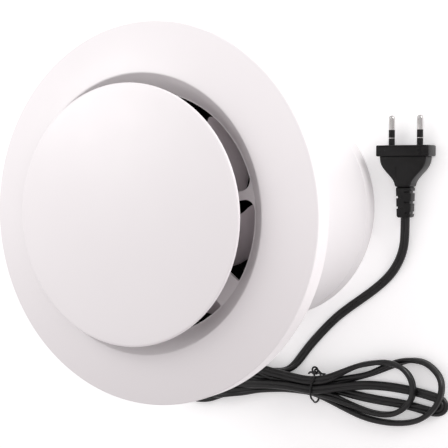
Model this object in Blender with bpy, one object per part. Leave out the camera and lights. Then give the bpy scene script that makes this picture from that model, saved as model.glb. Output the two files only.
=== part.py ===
"""Bathroom extractor fan with a 150 mm spigot, standing face up on the open end of its spigot.

Metres, +Z up. The origin is the centre of the spigot's open end, on the surface the fan stands on.
The fan's axis is +Z: air enters round the front disc at the top and leaves through the spigot.
"""
import math

import bmesh
import bpy
from mathutils import Vector

MM = 0.001
GAP = 0.3 * MM                      # left between pieces that touch on the real fan

# Face plate: rim, convex face, bell-mouthed inlet and the web that carries the disc.
PLATE_RADIUS = 108.6 * MM
RIM_BACK = 144.1 * MM
RIM_FRONT = 156.6 * MM
PLATE_CROWN = 8.0 * MM
LIP_RADIUS = 79.7 * MM
THROAT_RADIUS = 69.3 * MM
WEB_TOP = 153.1 * MM
WEB_THICKNESS = 2.5 * MM
SHELL = 2.2 * MM
WEB_HUB_RADIUS = 38 * MM
NARROW_SPOKES = (-81, 39, 159)      # degrees from +X
WIDE_SPOKE = -130
NARROW_SPOKE_WIDTH = 4.9 * MM
WIDE_SPOKE_WIDTH = 17.3 * MM
APERTURE_FILLET = 6 * MM

# Front disc and its posts.
DISC_RADIUS = 72.8 * MM
DISC_EDGE_TOP = 177.5 * MM
DISC_CROWN = 3.7 * MM
DISC_THICKNESS = 2.2 * MM
POST_CIRCLE = 26 * MM
POST_RADIUS = 4.5 * MM

# Housing.
SPIGOT_RADIUS = 74.5 * MM
BORE_RADIUS = 71.5 * MM
TUBE_TOP = 149.9 * MM
FLANGE_RADIUS = 105.6 * MM
FLANGE_BOTTOM = 146.1 * MM
FLANGE_TOP = 148.6 * MM
WALL_SCREW_CIRCLE = 92 * MM

# Motor and impeller.
HUB_RADIUS = 35 * MM
BLADE_COUNT = 7
BLADE_HIGH = 145.5 * MM
BLADE_LOW = 128 * MM
BLADE_THICKNESS = 1.8 * MM
BLADE_START = -91.4                 # degrees: where the first blade's high edge lies
SHAFT_RADIUS = 3 * MM
CAN_RADIUS = 29.5 * MM
CAN_BOTTOM = 90 * MM
CAN_TOP = 128 * MM
CARRIER_TOP = 112 * MM

# Damper.
HINGE_HEIGHT = 74.5 * MM
FLAP_RADIUS = 68.2 * MM
FLAP_THICKNESS = 1.2 * MM
PIN_RADIUS = 1 * MM
KNUCKLE_RADIUS = 2.4 * MM

# Cord, hank and plug. The cord lies on the surface z = 0.
CORD_DIAMETER = 6 * MM              # width of the flat twin flex
CORD_Z = CORD_DIAMETER / 2
GLAND_X, GLAND_Y = -88 * MM, 25 * MM
GLAND_TIP = 116 * MM
HANK_HEIGHT = 11.5 * MM
TIE_Y = -29.6 * MM
PLUG_X, PLUG_Y = -7.4 * MM, -97.4 * MM
PLUG_TURN = -1.3                    # degrees about +Z, from +X
PLUG_AXIS_Z = 6.9 * MM

MATERIALS = {}


def clear_scene():
    for item in list(bpy.data.objects):
        bpy.data.objects.remove(item, do_unlink=True)


def material(name, colour, roughness, metallic=0.0):
    made = bpy.data.materials.new(name)
    made.use_nodes = True
    shader = made.node_tree.nodes["Principled BSDF"]
    shader.inputs["Base Color"].default_value = (*colour, 1)
    shader.inputs["Roughness"].default_value = roughness
    shader.inputs["Metallic"].default_value = metallic
    MATERIALS[name] = made


def make_materials():
    material("white_plastic", (0.86, 0.85, 0.86), 0.4)
    material("impeller_plastic", (0.55, 0.54, 0.55), 0.5)
    material("black_plastic", (0.03, 0.03, 0.03), 0.45)
    material("cord_sheath", (0.025, 0.025, 0.025), 0.4)
    material("foam", (0.12, 0.12, 0.12), 0.95)
    material("steel", (0.6, 0.6, 0.62), 0.3, 1.0)
    material("motor_steel", (0.45, 0.46, 0.48), 0.35, 1.0)
    material("lamination", (0.3, 0.3, 0.32), 0.5, 1.0)
    material("copper", (0.72, 0.38, 0.2), 0.35, 1.0)
    material("nickel", (0.75, 0.74, 0.72), 0.2, 1.0)
    material("wire_blue", (0.05, 0.15, 0.5), 0.5)


def polar(radius, degrees):
    angle = math.radians(degrees)
    return radius * math.cos(angle), radius * math.sin(angle)


def add_object(name, bm, slot, location=(0, 0, 0), parent=None):
    """Close the mesh's books: outward faces, smooth shading with sharp edges, material and place."""
    bmesh.ops.recalc_face_normals(bm, faces=bm.faces)
    mesh = bpy.data.meshes.new(name)
    bm.to_mesh(mesh)
    bm.free()
    mesh.shade_smooth()
    mesh.set_sharp_from_angle(angle=math.radians(35))
    item = bpy.data.objects.new(name, mesh)
    bpy.context.scene.collection.objects.link(item)
    item.location = location
    item.parent = parent
    if slot:
        mesh.materials.append(MATERIALS[slot])
    return item


def turned(name, outline, segments, slot, location=(0, 0, 0), parent=None):
    """Solid of revolution about +Z from (radius, height) points; a point on the axis is a pole."""
    bm = bmesh.new()
    rings = []
    for radius, height in outline:
        count = segments if radius > 0 else 1
        rings.append([bm.verts.new((*polar(radius, 360 * step / segments), height)) for step in range(count)])
    pairs = list(zip(rings, rings[1:]))
    if len(rings[0]) > 1:
        pairs.append((rings[-1], rings[0]))
    for here, there in pairs:
        for step in range(segments):
            following = (step + 1) % segments
            corners = (here[step % len(here)], here[following % len(here)],
                       there[following % len(there)], there[step % len(there)])
            bm.faces.new(list(dict.fromkeys(corners)))
    return add_object(name, bm, slot, location, parent)


def extruded(name, outline, bottom, top, slot, location=(0, 0, 0), parent=None):
    """Prism on an (x, y) outline, from one height to another."""
    bm = bmesh.new()
    lower = [bm.verts.new((x, y, bottom)) for x, y in outline]
    upper = [bm.verts.new((x, y, top)) for x, y in outline]
    bm.faces.new(lower)
    bm.faces.new(upper)
    for step in range(len(outline)):
        following = (step + 1) % len(outline)
        bm.faces.new((lower[step], lower[following], upper[following], upper[step]))
    return add_object(name, bm, slot, location, parent)


def box(name, low, high, slot, location=(0, 0, 0), parent=None):
    outline = ((low[0], low[1]), (high[0], low[1]), (high[0], high[1]), (low[0], high[1]))
    return extruded(name, outline, low[2], high[2], slot, location, parent)


def tube(name, points, diameter, slot, resolution=2):
    """Round cord along points, as a bevelled curve with filled caps."""
    curve = bpy.data.curves.new(name, "CURVE")
    curve.dimensions = "3D"
    curve.bevel_depth = diameter / 2
    curve.bevel_resolution = resolution
    curve.use_fill_caps = True
    spline = curve.splines.new("POLY")
    spline.points.add(len(points) - 1)
    for point, place in zip(spline.points, points):
        point.co = (*place, 1)
    curve.materials.append(MATERIALS[slot])
    item = bpy.data.objects.new(name, curve)
    bpy.context.scene.collection.objects.link(item)
    return item


def smooth_path(route, step):
    """Points about one step apart on a smooth (Catmull-Rom) curve through the route's points."""
    route = [Vector(place) for place in route]
    guides = [2 * route[0] - route[1]] + route + [2 * route[-1] - route[-2]]
    fine = []
    for before, start, end, after in zip(guides, guides[1:], guides[2:], guides[3:]):
        for part in range(24):
            t = part / 24
            fine.append(0.5 * (2 * start + (end - before) * t
                               + (2 * before - 5 * start + 4 * end - after) * t ** 2
                               + (3 * start - before - 3 * end + after) * t ** 3))
    fine.append(route[-1])
    lengths = [0]
    for here, there in zip(fine, fine[1:]):
        lengths.append(lengths[-1] + (there - here).length)
    count = max(2, round(lengths[-1] / step))
    picked = []
    index = 0
    for number in range(count + 1):
        goal = lengths[-1] * number / count
        while index < len(fine) - 2 and lengths[index + 1] < goal:
            index += 1
        share = (goal - lengths[index]) / (lengths[index + 1] - lengths[index])
        picked.append(fine[index].lerp(fine[index + 1], share))
    return picked


def combine(target, other, operation):
    """Boolean with a helper object that isn't part of the fan."""
    other.hide_render = True
    other.display_type = "WIRE"
    modifier = target.modifiers.new(other.name, "BOOLEAN")
    modifier.operation = operation
    modifier.object = other


def cut(target, other):
    combine(target, other, "DIFFERENCE")


def join(target, other):
    combine(target, other, "UNION")


def arc(centre, radius, start, end, steps):
    """Points of an arc about (x, y), from one angle to the other in degrees, both ends included."""
    return [(centre[0] + x, centre[1] + y)
            for x, y in (polar(radius, start + (end - start) * step / steps) for step in range(steps + 1))]


# ---------------------------------------------------------------- face plate

def face_height(radius):
    """Height of the plate's convex front face."""
    share = (radius - LIP_RADIUS) / (PLATE_RADIUS - LIP_RADIUS)
    return RIM_FRONT + PLATE_CROWN * (1 - share ** 1.35)


def plate_outline():
    """Half section: web, conical inlet with a round lip, convex face, rim, and the same shell behind."""
    lip_top = RIM_FRONT + PLATE_CROWN
    front = [(0, WEB_TOP), (THROAT_RADIUS, WEB_TOP)]
    front += [(LIP_RADIUS - inset * MM, lip_top - drop * MM) for inset, drop in ((1.7, 1.7), (0.9, 0.5))]
    for share in (0, 0.25, 0.5, 0.75, 0.95):
        radius = LIP_RADIUS + share * (PLATE_RADIUS - LIP_RADIUS)
        front.append((radius, face_height(radius)))
    front += [(PLATE_RADIUS - 0.3 * MM, RIM_FRONT - 0.3 * MM), (PLATE_RADIUS, RIM_FRONT - 1.2 * MM)]
    middle = (LIP_RADIUS + PLATE_RADIUS) / 2
    web_bottom = WEB_TOP - WEB_THICKNESS
    back = [(PLATE_RADIUS, RIM_BACK), (PLATE_RADIUS - SHELL, RIM_BACK),
            (PLATE_RADIUS - SHELL, RIM_FRONT - SHELL), (middle, face_height(middle) - SHELL),
            (LIP_RADIUS + 1 * MM, lip_top - SHELL), (THROAT_RADIUS + SHELL, WEB_TOP - 0.6 * MM),
            (THROAT_RADIUS + SHELL, web_bottom), (0, web_bottom)]
    return front + back


def aperture_outline(start, start_width, end, end_width):
    """Opening between two spokes, with straight sides along the spokes and filleted corners."""
    def corner(radius, sign, degrees, half_width, outer):
        reach = radius - APERTURE_FILLET if outer else radius + APERTURE_FILLET
        aside = half_width + APERTURE_FILLET
        along = math.sqrt(reach ** 2 - aside ** 2)
        lean = sign * math.degrees(math.atan2(aside, along))
        return polar(reach, degrees + lean), degrees + lean

    start_inner, lean_a = corner(WEB_HUB_RADIUS, 1, start, start_width / 2, False)
    start_outer, lean_b = corner(THROAT_RADIUS, 1, start, start_width / 2, True)
    end_outer, lean_c = corner(THROAT_RADIUS, -1, end, end_width / 2, True)
    end_inner, lean_d = corner(WEB_HUB_RADIUS, -1, end, end_width / 2, False)
    span = end - start
    outline = arc(start_inner, APERTURE_FILLET, lean_a + 180, start + 270, 4)
    outline += arc(start_outer, APERTURE_FILLET, start - 90, lean_b, 4)
    outline += arc((0, 0), THROAT_RADIUS, lean_b, lean_c, max(2, round(span / 6)))[1:-1]
    outline += arc(end_outer, APERTURE_FILLET, lean_c, end + 90, 4)
    outline += arc(end_inner, APERTURE_FILLET, end + 90, lean_d + 180, 4)
    outline += arc((0, 0), WEB_HUB_RADIUS, lean_d, lean_a, max(2, round(span / 10)))[1:-1]
    return outline


def make_face_plate():
    plate = turned("face_plate", plate_outline(), 48, "white_plastic")
    spokes = [(WIDE_SPOKE, WIDE_SPOKE_WIDTH)] + [(angle, NARROW_SPOKE_WIDTH) for angle in NARROW_SPOKES]
    spokes.append((WIDE_SPOKE + 360, WIDE_SPOKE_WIDTH))
    for (start, start_width), (end, end_width) in zip(spokes, spokes[1:]):
        outline = aperture_outline(start, start_width, end, end_width)
        cut(plate, extruded(f"aperture_cutter_{start}", outline, WEB_TOP - 6 * MM, WEB_TOP + 4 * MM, None))
    for angle in NARROW_SPOKES:
        x, y = polar(POST_CIRCLE, angle)
        hole = turned(f"disc_screw_cutter_{angle}", cylinder(1.9 * MM, 145 * MM, 156 * MM), 12, None, (x, y, 0))
        cut(plate, hole)


def cylinder(radius, bottom, top):
    return [(0, bottom), (radius, bottom), (radius, top), (0, top)]


# ---------------------------------------------------------------- front disc

def disc_height(radius):
    """Height of the disc's gently domed front."""
    return DISC_EDGE_TOP + DISC_CROWN * (1 - (radius / DISC_RADIUS) ** 2)


def make_front_disc():
    edge = DISC_EDGE_TOP - DISC_THICKNESS
    outline = [(0, disc_height(0))]
    outline += [(radius * MM, disc_height(radius * MM)) for radius in (24, 46, 62)]
    outline += [(71.8 * MM, DISC_EDGE_TOP), (DISC_RADIUS, DISC_EDGE_TOP - 0.9 * MM), (72.2 * MM, edge)]
    outline += [(68 * MM, edge), (40 * MM, disc_height(40 * MM) - DISC_THICKNESS),
                (0, disc_height(0) - DISC_THICKNESS)]
    turned("front_disc", outline, 48, "white_plastic")


def pan_screw(name, place, length, slot, up=True, head=2.6 * MM, shank=1.4 * MM):
    """Pan-head screw. place is the centre of the head's seat; the shank runs up or down from it."""
    side = 1 if up else -1
    outline = [(0, -1.6 * MM), (head * 0.7, -1.6 * MM), (head, -0.8 * MM), (head, 0), (shank, 0),
               (shank, length - 1 * MM), (0.4 * shank, length), (0, length)]
    turned(name, [(radius, side * height) for radius, height in outline], 12, slot, place)


def make_disc_posts():
    seat = WEB_TOP - WEB_THICKNESS - GAP
    for number, angle in enumerate(NARROW_SPOKES, 1):
        x, y = polar(POST_CIRCLE, angle)
        top = disc_height(POST_CIRCLE) - DISC_THICKNESS - 3 * GAP
        outline = [(0, WEB_TOP + 10 * MM), (1.8 * MM, WEB_TOP + 10 * MM), (1.8 * MM, WEB_TOP + GAP),
                   (POST_RADIUS + 1 * MM, WEB_TOP + GAP), (POST_RADIUS, WEB_TOP + 4 * MM), (POST_RADIUS, top),
                   (0, top)]
        turned(f"disc_post_{number}", outline, 16, "white_plastic", (x, y, 0))
        pan_screw(f"disc_screw_{number}", (x, y, seat), 11 * MM, "steel")


# ---------------------------------------------------------------- housing

def make_housing():
    outline = [(BORE_RADIUS, 0.8 * MM), (BORE_RADIUS + 0.8 * MM, 0), (SPIGOT_RADIUS - 1.2 * MM, 0),
               (SPIGOT_RADIUS, 2.5 * MM), (SPIGOT_RADIUS, FLANGE_BOTTOM), (FLANGE_RADIUS, FLANGE_BOTTOM),
               (FLANGE_RADIUS, FLANGE_TOP), (SPIGOT_RADIUS, FLANGE_TOP), (SPIGOT_RADIUS, TUBE_TOP),
               (BORE_RADIUS, TUBE_TOP)]
    housing = turned("housing", outline, 48, "white_plastic")
    gland_hole = turned("gland_cutter", cylinder(5.2 * MM, 140 * MM, 155 * MM), 16, None, (GLAND_X, GLAND_Y, 0))
    cut(housing, gland_hole)
    notch = box("lead_notch_cutter", (70 * MM, -4 * MM, 146.9 * MM), (86 * MM, 4 * MM, 152 * MM), None)
    notch.rotation_euler.z = math.radians(WIDE_SPOKE)
    cut(housing, notch)
    for number in range(4):
        angle = 45 + 90 * number
        slot = arc((0, 0), 2.6 * MM, 90, 270, 5) + arc((6 * MM, 0), 2.6 * MM, -90, 90, 5)
        cutter = extruded(f"wall_screw_cutter_{number}", slot, 144 * MM, 151 * MM, None)
        cutter.location = (*polar(WALL_SCREW_CIRCLE, angle), 0)
        cutter.rotation_euler.z = math.radians(angle + 90)
        cut(housing, cutter)


def make_wall_gasket():
    outline = [(79 * MM, RIM_BACK), (87 * MM, RIM_BACK), (87 * MM, FLANGE_BOTTOM - GAP),
               (79 * MM, FLANGE_BOTTOM - GAP)]
    gasket = turned("wall_gasket", outline, 36, "foam")
    opening = turned("gasket_cutter", cylinder(8.2 * MM, 140 * MM, 150 * MM), 16, None, (GLAND_X, GLAND_Y, 0))
    cut(gasket, opening)


# ---------------------------------------------------------------- motor and its carrier

def make_carrier():
    sleeve = [(20 * MM, 83 * MM), (32.4 * MM, 83 * MM), (32.4 * MM, CARRIER_TOP),
              (CAN_RADIUS + 0.4 * MM, CARRIER_TOP), (CAN_RADIUS + 0.4 * MM, 85.6 * MM), (20 * MM, 85.6 * MM)]
    carrier = turned("motor_carrier", sleeve, 28, "black_plastic")
    ring = [(69 * MM, 94 * MM), (BORE_RADIUS - GAP, 94 * MM), (BORE_RADIUS - GAP, CARRIER_TOP),
            (69 * MM, CARRIER_TOP)]
    for number in range(5):
        angle = WIDE_SPOKE + 12 + 72 * number
        vane = guide_vane(f"guide_vane_{number}", angle)
        join(carrier, vane)
    join(carrier, turned("carrier_ring", ring, 48, None))
    for number in range(3):
        x, y = polar(24.5 * MM, 30 + 120 * number)
        hole = turned(f"carrier_cutter_{number}", cylinder(1.8 * MM, 82 * MM, 87 * MM), 12, None, (x, y, 0))
        cut(carrier, hole)


def guide_vane(name, degrees):
    """Vane that leans as it crosses the duct, from inside the sleeve's wall to inside the ring's."""
    near, far = 31.2 * MM, 70 * MM
    half = 1.1 * MM
    lean = 5 * MM
    bm = bmesh.new()
    corners = []
    for height, shift in ((96 * MM, lean), (110.5 * MM, -lean)):
        corners.append([bm.verts.new((x, y + shift * (x / far), height))
                        for x, y in ((near, -half), (far, -half), (far, half), (near, half))])
    bm.faces.new(corners[0])
    bm.faces.new(corners[1])
    for step in range(4):
        following = (step + 1) % 4
        bm.faces.new((corners[0][step], corners[0][following], corners[1][following], corners[1][step]))
    vane = add_object(name, bm, None)
    vane.rotation_euler.z = math.radians(degrees)
    return vane


def make_motor():
    pocket = 9.8 * MM
    can = [(4 * MM, CAN_TOP), (CAN_RADIUS - 1.5 * MM, CAN_TOP), (CAN_RADIUS, CAN_TOP - 1.5 * MM),
           (CAN_RADIUS, CAN_BOTTOM), (CAN_RADIUS - 2 * MM, CAN_BOTTOM), (CAN_RADIUS - 2 * MM, 126 * MM),
           (11.8 * MM, 126 * MM), (11.8 * MM, 120.2 * MM), (pocket, 120.2 * MM), (pocket, 126 * MM),
           (4 * MM, 126 * MM)]
    turned("motor_can", can, 28, "motor_steel")
    cap = [(4 * MM, 86 * MM), (CAN_RADIUS, 86 * MM), (CAN_RADIUS, 89.6 * MM), (12 * MM, 89.6 * MM),
           (12 * MM, 95 * MM), (pocket, 95 * MM), (pocket, 89.6 * MM), (4 * MM, 89.6 * MM)]
    end_cap = turned("motor_end_cap", cap, 28, "motor_steel")
    for number in range(3):
        x, y = polar(24.5 * MM, 30 + 120 * number)
        cut(end_cap, turned(f"cap_cutter_{number}", cylinder(1.7 * MM, 84 * MM, 91 * MM), 12, None, (x, y, 0)))
        pan_screw(f"motor_screw_{number + 1}", (x, y, 83 * MM - GAP), 8 * MM, "steel")
    for name, bottom in (("rear_bearing", 89.9 * MM), ("front_bearing", 120.6 * MM)):
        ring = [(SHAFT_RADIUS + 0.2 * MM, bottom), (9.5 * MM, bottom), (9.5 * MM, bottom + 5 * MM),
                (8.2 * MM, bottom + 5 * MM), (7.6 * MM, bottom + 4.6 * MM), (4.8 * MM, bottom + 4.6 * MM),
                (4.2 * MM, bottom + 5 * MM), (SHAFT_RADIUS + 0.2 * MM, bottom + 5 * MM)]
        turned(name, ring, 18, "steel")
    make_stator()
    for name, bottom in (("rear_winding", 92.3 * MM), ("front_winding", 115.4 * MM)):
        ring = [(17 * MM, bottom + 1 * MM), (18 * MM, bottom), (23 * MM, bottom), (24 * MM, bottom + 1 * MM),
                (24 * MM, bottom + 3.4 * MM), (23 * MM, bottom + 4.3 * MM), (18 * MM, bottom + 4.3 * MM),
                (17 * MM, bottom + 3.4 * MM)]
        turned(name, ring, 18, "copper")


def make_stator():
    bottom, top = 97 * MM, 115 * MM
    stator = turned("stator_core", [(16.2 * MM, bottom), (27.2 * MM, bottom), (27.2 * MM, top),
                                    (16.2 * MM, top)], 28, "lamination")
    for number in range(6):
        slot = box(f"slot_cutter_{number}", (14 * MM, -1.5 * MM, bottom - 1 * MM),
                   (23 * MM, 1.5 * MM, top + 1 * MM), None)
        slot.rotation_euler.z = math.radians(15 + 60 * number)
        cut(stator, slot)


def make_rotor():
    turned("motor_shaft", [(0, 84.6 * MM), (2.4 * MM, 84.6 * MM), (SHAFT_RADIUS, 85.2 * MM),
                           (SHAFT_RADIUS, 142 * MM), (0, 142 * MM)], 20, "steel")
    turned("rotor_core", [(SHAFT_RADIUS + 0.2 * MM, 97 * MM), (15.7 * MM, 97 * MM), (15.7 * MM, 115 * MM),
                          (SHAFT_RADIUS + 0.2 * MM, 115 * MM)], 24, "lamination")
    turned("hub_clip", [(SHAFT_RADIUS + 0.2 * MM, 130.4 * MM), (6 * MM, 130.4 * MM), (6 * MM, 131.2 * MM),
                        (SHAFT_RADIUS + 0.2 * MM, 131.2 * MM)], 20, "steel")


# ---------------------------------------------------------------- impeller

# Plan of a blade: radius in mm, then its high edge's and its low edge's angle in degrees.
BLADE_PLAN = ((33.8, -9.5, -50), (40, -7.5, -46), (46, -4.5, -41.5), (52, -1.5, -34), (57, 1.5, -25.5),
              (61.5, 4.6, -18), (64.8, 5.4, -12), (66.5, 3.4, -6))


def blade(name, turn):
    """Swept, twisted blade with a rounded tip, built as two skins over the plan."""
    steps = 4
    bm = bmesh.new()
    skins = []
    for side in (0.5, -0.5):
        skin = []
        for radius, high, low in BLADE_PLAN:
            row = []
            for step in range(steps + 1):
                share = step / steps
                x, y = polar(radius * MM, turn + high + (low - high) * share)
                edge = 1 - 0.6 * (2 * share - 1) ** 4
                drop = share + 0.08 * math.sin(math.pi * share)
                height = BLADE_HIGH + (BLADE_LOW - BLADE_HIGH) * drop + side * BLADE_THICKNESS * edge
                row.append(bm.verts.new((x, y, height)))
            skin.append(row)
        skins.append(skin)
    top, bottom = skins
    last = len(BLADE_PLAN) - 1
    for row in range(last):
        for step in range(steps):
            for skin in skins:
                bm.faces.new((skin[row][step], skin[row][step + 1], skin[row + 1][step + 1], skin[row + 1][step]))
        for step in (0, steps):
            bm.faces.new((top[row][step], top[row + 1][step], bottom[row + 1][step], bottom[row][step]))
    for row in (0, last):
        for step in range(steps):
            bm.faces.new((top[row][step], top[row][step + 1], bottom[row][step + 1], bottom[row][step]))
    return add_object(name, bm, None)


def make_impeller():
    outline = [(0, 146.5 * MM), (16 * MM, 146.2 * MM), (27 * MM, 144.8 * MM), (33 * MM, 142 * MM),
               (HUB_RADIUS, 137 * MM), (HUB_RADIUS, 118 * MM), (32.5 * MM, 118 * MM), (32.5 * MM, 136 * MM),
               (29 * MM, 140.6 * MM), (6.5 * MM, 143 * MM), (6.5 * MM, 132 * MM),
               (SHAFT_RADIUS + 0.2 * MM, 132 * MM), (SHAFT_RADIUS + 0.2 * MM, 142.6 * MM), (0, 142.6 * MM)]
    impeller = turned("impeller", outline, 32, "impeller_plastic")
    for number in range(BLADE_COUNT):
        join(impeller, blade(f"blade_{number}", BLADE_START + 360 * number / BLADE_COUNT))


# ---------------------------------------------------------------- backdraught damper

KNUCKLES = {"left": (-50, -6, 38), "right": (-36, 8, 52)}      # mm along the pin, 12 mm long each
KNUCKLE_LENGTH = 12 * MM


def make_damper_frame():
    ledge = [(BORE_RADIUS - GAP, 70 * MM), (BORE_RADIUS - GAP, 82 * MM), (66.5 * MM, 82 * MM),
             (66.5 * MM, 76.6 * MM), (69.2 * MM, 76.6 * MM), (69.2 * MM, 70 * MM)]
    frame = turned("damper_frame", ledge, 48, "black_plastic")
    join(frame, box("damper_bar", (-68 * MM, -2 * MM, 77.4 * MM), (68 * MM, 2 * MM, 81.4 * MM), None))
    drill = along_x("pin_cutter", PIN_RADIUS + 0.2 * MM, -71 * MM, 71 * MM, 12)
    drill.location.z = HINGE_HEIGHT
    cut(frame, drill)
    pin = along_x("damper_pin", PIN_RADIUS, -70.8 * MM, 70.8 * MM, 12, "steel")
    pin.location.z = HINGE_HEIGHT


def along_x(name, radius, start, end, segments, slot=None):
    """Cylinder along X through the object's origin."""
    rod = turned(name, cylinder(radius, start, end), segments, slot)
    for vertex in rod.data.vertices:
        vertex.co = (vertex.co.z, vertex.co.x, vertex.co.y)
    return rod


def make_flap(side):
    """Half-disc flap with three knuckles. Its origin is on the hinge pin."""
    sign = 1 if side == "left" else -1
    inset = 3.5 * MM
    opening = math.degrees(math.asin(inset / FLAP_RADIUS))
    outline = [(x, sign * y) for x, y in arc((0, 0), FLAP_RADIUS, opening, 180 - opening, 24)]
    half = FLAP_THICKNESS / 2
    flap = extruded(f"damper_flap_{side}", outline, -half, half, "black_plastic", (0, 0, HINGE_HEIGHT))
    for number, start in enumerate(KNUCKLES[side]):
        x = start * MM
        barrel = along_x(f"barrel_{side}_{number}", KNUCKLE_RADIUS, x, x + KNUCKLE_LENGTH, 14)
        tab = box(f"tab_{side}_{number}", (x + 0.5 * MM, min(0, sign * 4.6 * MM), -half * 0.9),
                  (x + KNUCKLE_LENGTH - 0.5 * MM, max(0, sign * 4.6 * MM), half * 0.9), None)
        for piece in (barrel, tab):
            piece.location.z = HINGE_HEIGHT
            join(flap, piece)
    bore = along_x(f"bore_{side}", PIN_RADIUS + 0.2 * MM, -60 * MM, 68 * MM, 12)
    bore.location.z = HINGE_HEIGHT
    cut(flap, bore)


def make_spring(side):
    """Torsion spring round the pin: one leg up against the bar, one out under the flap."""
    sign = 1 if side == "left" else -1
    start = (-20 if side == "left" else 24) * MM
    wire = 0.5 * MM
    coil_radius = 1.65 * MM
    steps_per_turn, steps = 8, 26
    below = -(FLAP_THICKNESS / 2 + wire / 2 + GAP)
    points = [(start, sign * 2.75 * MM, HINGE_HEIGHT + 5 * MM), (start, sign * 2.75 * MM, HINGE_HEIGHT + 2.2 * MM)]
    for step in range(steps + 1):
        turn = 2 * math.pi * step / steps_per_turn
        points.append((start + wire * 1.5 * step / steps_per_turn, sign * coil_radius * math.cos(turn),
                       HINGE_HEIGHT - coil_radius * math.sin(turn)))
    final = points[-1][0] + wire * 0.4
    points += [(final, sign * 5 * MM, HINGE_HEIGHT + below - 0.25 * MM), (final, sign * 14 * MM, HINGE_HEIGHT + below)]
    tube(f"damper_spring_{side}", points, wire, "steel", 1)


# ---------------------------------------------------------------- wiring and gland

def make_wiring():
    block = box("terminal_block", (-13 * MM, -5.5 * MM, FLANGE_TOP + GAP), (13 * MM, 5.5 * MM, 157.2 * MM),
                "black_plastic")
    block.location = (*polar(89 * MM, -158), 0)
    block.rotation_euler.z = math.radians(-158 + 90)
    for number in range(3):
        well = turned(f"well_cutter_{number}", cylinder(2 * MM, 153 * MM, 159 * MM), 10, None)
        well.parent = block
        well.location = ((-8 + 8 * number) * MM, 0, 0)
        cut(block, well)
    wall = 69.4 * MM
    lead = [(*polar(88 * MM, -148), 151.6 * MM), (*polar(86.5 * MM, -140), 151.4 * MM),
            (*polar(82 * MM, -133), 150.7 * MM), (*polar(77 * MM, WIDE_SPOKE), 149 * MM),
            (*polar(72.5 * MM, WIDE_SPOKE), 148.7 * MM), (*polar(69.8 * MM, WIDE_SPOKE), 147.2 * MM),
            (*polar(wall, WIDE_SPOKE), 143 * MM), (*polar(wall, WIDE_SPOKE), 130 * MM),
            (*polar(wall, WIDE_SPOKE), 119 * MM), (*polar(67 * MM, WIDE_SPOKE), 115 * MM),
            (*polar(60 * MM, WIDE_SPOKE), 114.3 * MM), (*polar(45 * MM, WIDE_SPOKE), 114.3 * MM),
            (*polar(CAN_RADIUS + 0.4 * MM, WIDE_SPOKE), 114.3 * MM)]
    tube("motor_lead", smooth_path(lead, 3.5 * MM), 2 * MM, "wire_blue", 1)
    cores = [(GLAND_X, GLAND_Y, 152.7 * MM), (GLAND_X - 1 * MM, GLAND_Y - 4 * MM, 153.4 * MM),
             (*polar(91 * MM, 176), 153.6 * MM), (*polar(89.5 * MM, -175), 153 * MM),
             (*polar(89 * MM, -167.2), 152.6 * MM)]
    tube("supply_cores", smooth_path(cores, 5 * MM), 2.6 * MM, "wire_blue")


def make_gland():
    """Gland through the flange, with a tapered strain relief below it."""
    outline = [(0, 151 * MM), (6.4 * MM, 151 * MM), (7 * MM, 150.4 * MM), (7 * MM, FLANGE_TOP + GAP),
               (4.9 * MM, FLANGE_TOP + GAP), (4.9 * MM, FLANGE_BOTTOM - GAP), (7 * MM, FLANGE_BOTTOM - GAP),
               (7 * MM, 142 * MM), (5.6 * MM, 139 * MM), (3.8 * MM, GLAND_TIP + 1 * MM),
               (3.2 * MM, GLAND_TIP), (0, GLAND_TIP)]
    turned("cord_gland", outline, 20, "black_plastic", (GLAND_X, GLAND_Y, 0))


# ---------------------------------------------------------------- cord, hank, tie and plug

def make_cord():
    drop = [(GLAND_X, GLAND_Y, GLAND_TIP - GAP), (GLAND_X, GLAND_Y, 100 * MM), (-88.5 * MM, 25 * MM, 80 * MM),
            (-89 * MM, 25.5 * MM, 58 * MM), (-89.5 * MM, 27 * MM, 38 * MM), (-90 * MM, 31 * MM, 21 * MM),
            (-90.5 * MM, 38 * MM, 9.4 * MM), (-91 * MM, 46 * MM, 4 * MM), (-91.6 * MM, 53 * MM, CORD_Z + 0.1 * MM),
            (-92 * MM, 62 * MM, CORD_Z + 0.1 * MM), (-93.5 * MM, 72 * MM, CORD_Z + 0.1 * MM)]
    tube("cord_drop", smooth_path(drop, 12 * MM), CORD_DIAMETER, "cord_sheath")
    lead = [(-107.9 * MM, -14 * MM, CORD_Z), (-103.8 * MM, -17.6 * MM, CORD_Z), (-94 * MM, -25.6 * MM, CORD_Z),
            (-84.1 * MM, -35 * MM, CORD_Z), (-74.3 * MM, -45.4 * MM, CORD_Z), (-66.6 * MM, -55.7 * MM, CORD_Z),
            (-59.8 * MM, -65.7 * MM, CORD_Z), (-52.6 * MM, -75.7 * MM, CORD_Z), (-44.3 * MM, -84.9 * MM, CORD_Z),
            (-34.3 * MM, -91.8 * MM, CORD_Z + 0.6 * MM), (-24.8 * MM, -95.3 * MM, CORD_Z + 1.8 * MM),
            (-16.3 * MM, -96.7 * MM, PLUG_AXIS_Z - 0.9 * MM), (PLUG_X - 1.2 * MM, PLUG_Y, PLUG_AXIS_Z)]
    tube("cord_lead", smooth_path(lead, 12 * MM), CORD_DIAMETER, "cord_sheath")


# Outline of the hank in mm: place along its length (Y), then its near and far edges (X).
HANK_EDGES = ((91, -110, -118), (87, -101, -127), (78, -97.6, -136), (64, -95.4, -140), (50, -96, -137.6),
              (30, -101, -134.6), (10, -107, -129), (-8, -110.4, -127.4), (-16, -110.6, -127.8),
              (-28, -112.6, -128.6), (-44, -110.4, -133), (-58, -104, -139), (-74, -99.4, -142.8),
              (-92, -97, -143), (-106, -97.4, -142), (-116, -101.4, -137.6), (-122, -108, -134),
              (-125.6, -117, -131))


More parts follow.
